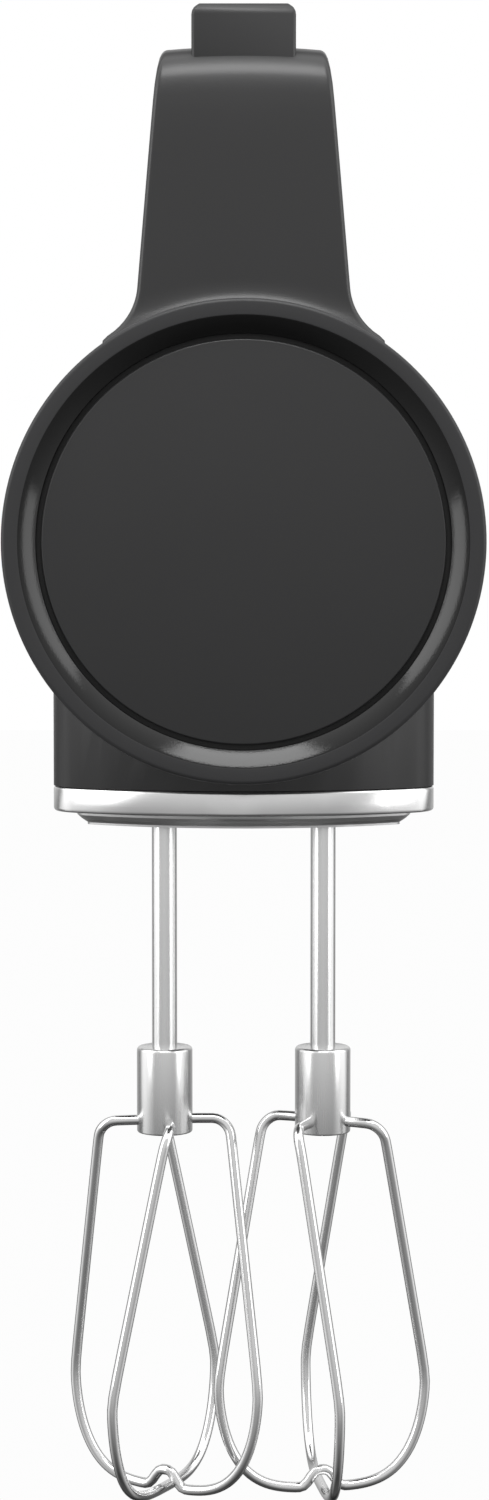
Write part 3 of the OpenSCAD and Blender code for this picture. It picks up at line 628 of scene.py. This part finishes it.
def loop_stations():
    """Sections round the loop as (inner point, outer point) in the side plane."""
    stations = []
    for i in range(29):
        z = NECK_FOOT + (GAP_TOP - INNER_R - NECK_FOOT) * i / 28
        stations.append(((NECK_BACK, z), (NECK_FRONT, z)))
    corners = (
        (NECK_BACK + INNER_R, NECK_FRONT, 0, 8.0),
        (GAP_BACK - INNER_R, LOOP_BACK, 90, 7.0),
    )
    for centre_y, side, start, square in corners:
        reach = (abs(side - centre_y), HANDLE_TOP - (GAP_TOP - INNER_R))
        for i in range(1, 24):
            a = math.radians(90 * i / 24)
            if start:
                a = math.pi / 2 - a
            c, s = math.cos(a), math.sin(a)
            out = 1 / ((c / reach[0]) ** square + (s / reach[1]) ** square) ** (1 / square)
            sign = -1 if side < centre_y else 1
            centre_z = GAP_TOP - INNER_R
            inner = (centre_y + sign * c * INNER_R, centre_z + s * INNER_R)
            outer = (centre_y + sign * c * out, centre_z + s * out)
            stations.append((inner, outer))
        if not start:
            for i in range(9):
                y = centre_y + (GAP_BACK - INNER_R - centre_y) * i / 8
                stations.append(((y, GAP_TOP), (y, HANDLE_TOP)))
    for i in range(8):
        z = GAP_TOP - INNER_R - (GAP_TOP - INNER_R - POST_FOOT) * i / 7
        stations.append(((GAP_BACK, z), (LOOP_BACK, z)))
    return stations


def section_shape(corner, cuts):
    """A square ring of vertices from -1 to 1 both ways, with rounded corners."""
    bm = bmesh.new()
    corners = [bm.verts.new((x, y, 0)) for x, y in ((-1, -1), (1, -1), (1, 1), (-1, 1))]
    bm.faces.new(corners)
    bmesh.ops.bevel(
        bm, geom=corners, offset=corner, offset_type="OFFSET", segments=6, profile=0.5,
        affect="VERTICES", material=-1,
    )
    bmesh.ops.delete(bm, geom=list(bm.faces), context="FACES_ONLY")
    straight = [e for e in bm.edges if e.calc_length() > 2 * corner]
    bmesh.ops.subdivide_edges(bm, edges=straight, cuts=cuts)
    return bm


FILLET_R = 0.009
FILLET_RISE = 0.0055
FRONT_SKIN = 0.002


def settle_neck(bm):
    """Draws the front of the neck forward in a small fillet where it meets the ring."""
    for v in bm.verts:
        gap = math.hypot(v.co.x, v.co.z - DRUM_Z) - RING_R
        if v.co.y < NECK_FRONT + FRONT_SKIN and gap < FILLET_RISE:
            t = min(FILLET_RISE - gap, 0.95 * FILLET_R)
            v.co.y -= FILLET_R - math.sqrt(FILLET_R * FILLET_R - t * t)


def next_ring(bm, edges, ring):
    """Extrudes a ring on the spot; returns its new edges, and its vertices in the same order."""
    made = bmesh.ops.extrude_edge_only(bm, edges=edges)["geom"]
    edges = [g for g in made if isinstance(g, bmesh.types.BMEdge)]
    fresh = {g.co.copy().freeze(): g for g in made if isinstance(g, bmesh.types.BMVert)}
    return edges, [fresh[v.co.copy().freeze()] for v in ring]


def close_ends(bm):
    """Fills the two open ends of a loft."""
    bmesh.ops.holes_fill(bm, edges=[e for e in bm.edges if e.is_boundary], sides=0)


CROWN = 0.0012


def handle_loft():
    """The loop as one ring extruded from station to station, each laid in its own plane."""
    bm = section_shape(0.07, 9)
    unit = [v.co.copy() for v in bm.verts]
    edges = list(bm.edges)
    ring = list(bm.verts)
    for index, (inner, outer) in enumerate(loop_stations()):
        if index:
            edges, ring = next_ring(bm, edges, ring)
        a, b = Vector((0, *inner)), Vector((0, *outer))
        crown = CROWN * max(0, (b - a).normalized().z)
        for v, u in zip(ring, unit):
            fall = crown * u.x * u.x if u.y > 0 else 0
            v.co = a + (b - a) * (u.y + 1) / 2 - Vector((0, 0, fall))
            v.co.x = u.x * (half_width(v.co.z) + (flare(v.co.z) if v.co.y < GAP_BACK else 0))
    close_ends(bm)
    settle_neck(bm)
    return bm


finished(
    "handle_loop", handle_loft(), plastic("handle_black", (0.021, 0.021, 0.0215), rough=0.3),
    "housing", "matte_black", ["handle_shell"],
)

GRIP_RUBBER = plastic("grip_rubber", (0.018, 0.018, 0.019), rough=0.68, grain=1500, depth=0.00008)


PAD_ROUNDING = 0.006
PAD_HALF_HEIGHT = 0.0075
PAD_MIDDLE = 0.0062
PAD_PROUD = 0.0006
PAD_LEVEL = 0.168


def grip_pad():
    """The over-moulded pad: a shallow rounded cushion along the underside of the bar."""
    low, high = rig.box("handle_grip")
    bm = section_shape(0.35, 3)
    unit = [v.co.copy() for v in bm.verts]
    edges, ring = list(bm.edges), list(bm.verts)
    length = high.y - low.y
    for i in range(25):
        t = i / 24
        end = min(t, 1 - t) * length
        swell = math.sqrt(1 - max(0, 1 - end / PAD_ROUNDING) ** 2)
        if i:
            edges, ring = next_ring(bm, edges, ring)
        for v, u in zip(ring, unit):
            half = (half_width(PAD_LEVEL) + PAD_PROUD) * (0.93 + 0.07 * swell)
            height = PAD_HALF_HEIGHT * max(swell, 0.02)
            v.co = (half * u.x, low.y + length * t, GAP_TOP + PAD_MIDDLE + u.y * height)
    close_ends(bm)
    return bm


finished("grip_pad", grip_pad(), GRIP_RUBBER, "housing", "soft_black", ["handle_grip"])

# ---- Metal band, base plate and socket collars ----
# A bright plated band wraps the foot of the skirt; a grey plate under it carries the two socket
# collars and is held by four screws.

BAND_SILVER = metal(
    "band_silver", (0.86, 0.86, 0.86), rough=0.24, lines=(30, 30, 2600), depth=0.000002, spread=0.02
)
PLATE_GREY = metal("plate_grey", (0.72, 0.72, 0.72), rough=0.4, lines=(300, 300, 300), depth=0.000004)
softened("base_band", "silver_band", BAND_SILVER, "housing", "silver_band", 0.0009, segments=4)
softened("base_plate", "foot_plate", PLATE_GREY, "housing", "plate_grey", 0.0009)
softened(
    "socket_collars", "socket_collars_soft", plastic("collar_black", (0.01, 0.01, 0.01), rough=0.3),
    "housing", "collar_black", 0.0003, flat=0.2,
)

# ---- Beaters ----
# Two satin stainless shafts, each pressed into a collar that clamps two bent wire loops. The
# loops cross at the bottom: one has a small hump that rides over the other.

AXIS_X = (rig.box("right_ferrule")[0].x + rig.box("right_ferrule")[1].x) / 2
FERRULE_R = (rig.box("right_ferrule")[1].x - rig.box("right_ferrule")[0].x) / 2
FERRULE_LOW, FERRULE_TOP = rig.box("right_ferrule")[0].z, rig.box("right_ferrule")[1].z
SHAFT_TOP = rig.box("right_beater_shaft")[1].z
SHAFT_R = 0.0032
WIRE_R = 0.00132
CAGE_R = 0.027
CAGE_H = 0.094
CAGE_FOOT = -0.173
CAGE_LOW = CAGE_FOOT + WIRE_R + 0.0002
WIRE_TURN = 46
HUMP_H = 0.0045

SHAFT_STEEL = metal("shaft_steel", (0.78, 0.78, 0.78), rough=0.26, lines=(2200, 2200, 60), depth=0.000004)
WIRE_STEEL = metal("wire_steel", (0.74, 0.74, 0.74), rough=0.14, lines=(400, 400, 60), depth=0.00001)


def shaft_piece(x):
    """A ground shaft with a rounded top that guides it into the socket."""
    low = FERRULE_LOW + 0.004
    return lathe(
        [(0, low), (SHAFT_R, low), (SHAFT_R, SHAFT_TOP), (0, SHAFT_TOP)],
        (x, 0, 0), (0, 0, 1), [(2, 0.0009, 4)], 48,
    )


def ferrule_piece(x):
    """The pressed collar, with small roundings at both ends."""
    return lathe(
        [(0, FERRULE_LOW), (FERRULE_R, FERRULE_LOW), (FERRULE_R, FERRULE_TOP), (0, FERRULE_TOP)],
        (x, 0, 0), (0, 0, 1), [(1, 0.0005, 3), (2, 0.0009, 4)], 64,
    )


def hump(r):
    """Extra height of a hooked wire near the beater's axis."""
    return HUMP_H * smooth_step(0, 1, (0.0048 - r) / 0.0032)


def wire_points(exit_angle, lean, hooked):
    """The middle line of one wire, from inside the collar down to the beater's axis."""
    exit_z = FERRULE_LOW + 0.0032
    bulge_z = FERRULE_LOW - 0.68 * CAGE_H
    bend, elbow_r = 0.005, CAGE_R - 0.01
    points = [(0.002, exit_angle, exit_z)]
    for t in range(90, 0, -8):
        a = math.radians(t)
        points.append((
            elbow_r - bend + bend * math.cos(a), exit_angle + lean * (18 - t / 10),
            exit_z - bend + bend * math.sin(a),
        ))
    places = [
        Vector((r * math.cos(math.radians(a)), r * math.sin(math.radians(a)), z))
        for r, a, z in points
    ]
    turned = math.radians(exit_angle + lean * WIRE_TURN)
    outward = Vector((math.cos(turned), math.sin(turned), 0))
    start, bulge = places[-1].copy(), outward * CAGE_R + Vector((0, 0, bulge_z))
    places += [start.lerp(bulge, i / 10) for i in range(1, 11)]
    for i in range(1, 33):
        u = math.radians(90 * math.sin(math.radians(90 * i / 33)))
        r = CAGE_R * math.cos(u) ** 0.55
        z = bulge_z + (CAGE_LOW - bulge_z) * math.sin(u)
        places.append(outward * r + Vector((0, 0, z + (hump(r) if hooked else 0))))
    return places


def rounded_off(points, rounds=2):
    """The same line with its corners eased, its ends kept."""
    for _ in range(rounds):
        eased = [points[0]]
        for before, here, after in zip(points, points[1:], points[2:]):
            eased.append(before * 0.2 + here * 0.6 + after * 0.2)
        points = eased + [points[-1]]
    return points


def wire_tube(x, points, name, slot, body, stands_for):
    """A round wire swept along a line: a ring extruded from point to point."""
    bm = bmesh.new()
    sides = 14
    bmesh.ops.create_circle(bm, segments=sides, radius=WIRE_R)
    edges, ring = list(bm.edges), list(bm.verts)
    flat = [v.co.copy() for v in ring]
    spin = None
    for i, point in enumerate(points):
        ahead = points[min(i + 1, len(points) - 1)] - points[max(i - 1, 0)]
        way = ahead.normalized()
        spin = way.to_track_quat("Z", "Y") if spin is None else (
            (spin @ Vector((0, 0, 1))).rotation_difference(way) @ spin
        )
        if i:
            edges, ring = next_ring(bm, edges, ring)
        for v, u in zip(ring, flat):
            v.co = point + Vector((x, 0, 0)) + spin @ u
    close_ends(bm)
    finished(name, bm, WIRE_STEEL, body, slot, [stands_for])


for side, x, lean, plain_exit, hooked_exit in (
    ("left", -AXIS_X, -1, 108, 18), ("right", AXIS_X, 1, 52, 142),
):
    body = side + "_beater"
    finished(
        side + "_shaft", shaft_piece(x), SHAFT_STEEL, body, "stainless", [side + "_beater_shaft"]
    )
    finished(side + "_collar", ferrule_piece(x), SHAFT_STEEL, body, "stainless", [side + "_ferrule"])
    for kind, exit_angle, hooked in (("plain", plain_exit, False), ("hooked", hooked_exit, True)):
        down = wire_points(exit_angle, lean, hooked)
        up = wire_points(exit_angle + 180, lean, hooked)
        middle = Vector((0, 0, CAGE_LOW + (HUMP_H if hooked else 0)))
        route = rounded_off(down + [middle] + up[::-1])
        wire_tube(
            x, route, side + "_" + kind + "_loop", "polished_wire", body,
            side + "_" + kind + "_wire",
        )

# ---- Eject button and speed slider ----
# The button at the front of the handle is pressed down to push the beaters out. The slider
# behind it is pushed forward and back by the thumb, and has ribs for grip.

softened("eject_button", "eject_cap", MOULD_BLACK, "eject", "matte_black", 0.0009, flat=0.2)
softened(
    "speed_slider", "thumb_slider", plastic("slider_grey", (0.3, 0.3, 0.31), rough=0.35),
    "speed", "grey_plastic", 0.0004, flat=0.2,
)

# ---- Battery pack ----
# A two-cell-high pack that slides into the dock. Its case is black nylon, with sprung grey
# release buttons at the sides, a charge lens and four rubber feet that the mixer rests on.

softened("battery_case", "pack_case", MOULD_BLACK, "battery", "matte_black", 0.0006)
LATCH_GREY = plastic("latch_grey", (0.25, 0.25, 0.26), rough=0.4)
softened("left_latch", "left_release", LATCH_GREY, "left_latch_button", "grey_plastic", 0.0003, flat=0.2)
softened("right_latch", "right_release", LATCH_GREY, "right_latch_button", "grey_plastic", 0.0003, flat=0.2)
softened("heel_feet", "rest_feet", GRIP_RUBBER, "battery", "soft_black", 0.0005)

# ---- Pieces inside ----
# The gear train, motor, boards, cells and fixings keep their CAD shape and get their finish.

STEEL = metal("machined_steel", (0.5, 0.51, 0.53), rough=0.32, lines=(1500, 1500, 1500))
COPPER = metal("copper_winding", (0.62, 0.3, 0.16), rough=0.35, lines=(300, 1800, 300))
BRONZE = metal("sintered_bronze", (0.5, 0.33, 0.15), rough=0.5, lines=(700, 700, 700))
GOLD = metal("plated_contact", (0.8, 0.6, 0.25), rough=0.25, lines=(900, 900, 900))
CAST = metal("cast_alloy", (0.3, 0.32, 0.33), rough=0.55, lines=(500, 500, 500), depth=0.00008)
NYLON = plastic("natural_nylon", (0.7, 0.67, 0.56), rough=0.45)
BOARD = plastic("solder_mask", (0.02, 0.16, 0.06), rough=0.3, grain=900)
inner_finishes = {
    "clear_lens": plastic("charge_lens", (0.55, 0.6, 0.62), rough=0.15, coat=0.6),
    "cast_case": CAST, "bronze": BRONZE, "steel": STEEL, "copper": COPPER, "gold": GOLD,
    "magnet": plastic("ferrite", (0.04, 0.04, 0.045), rough=0.6),
    "dark_plastic": plastic("filled_nylon", (0.05, 0.05, 0.05), rough=0.5),
    "natural_nylon": NYLON, "board_green": BOARD,
    "lead_red": plastic("lead_sheath", (0.35, 0.02, 0.02), rough=0.4),
    "cell_blue": plastic("cell_sleeve", (0.05, 0.15, 0.4), rough=0.3),
    "soft_black": GRIP_RUBBER,
}


def return_spring():
    """The eject button's coil spring: it shortens by the button's travel as the cap goes down."""
    low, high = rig.box("eject_spring")
    bm = bmesh.new()
    bm.from_mesh(NODES["eject_spring"].data)
    piece = finished("button_spring", bm, STEEL, "housing", "steel", ["eject_spring"])
    press = next(joint for joint in frame["joints"] if joint["name"] == "eject_press")
    travel = max(abs(limit) for limit in press["range_m"])
    foot = ((low.x + high.x) / 2, (low.y + high.y) / 2, low.z)
    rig.squash(piece, "eject_press", (0, 0, 1), foot, keep=1 - travel / (high.z - low.z))


return_spring()
stood_for = {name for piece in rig.table()["pieces"] for name in piece.get("replaces", [])}
for entry in frame["record"]["subparts"]:
    finish = inner_finishes.get(entry["material_slot"])
    node = NODES[entry["node"]]
    if finish and entry["node"] not in stood_for and entry["node"] != "ring_seal":
        node.data.materials.clear()
        node.data.materials.append(finish)

low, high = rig.bounds()
with open("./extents.json", "w") as sizes:
    json.dump({"cad": [list(cad_low), list(cad_high)], "visual": [list(low), list(high)]}, sizes)
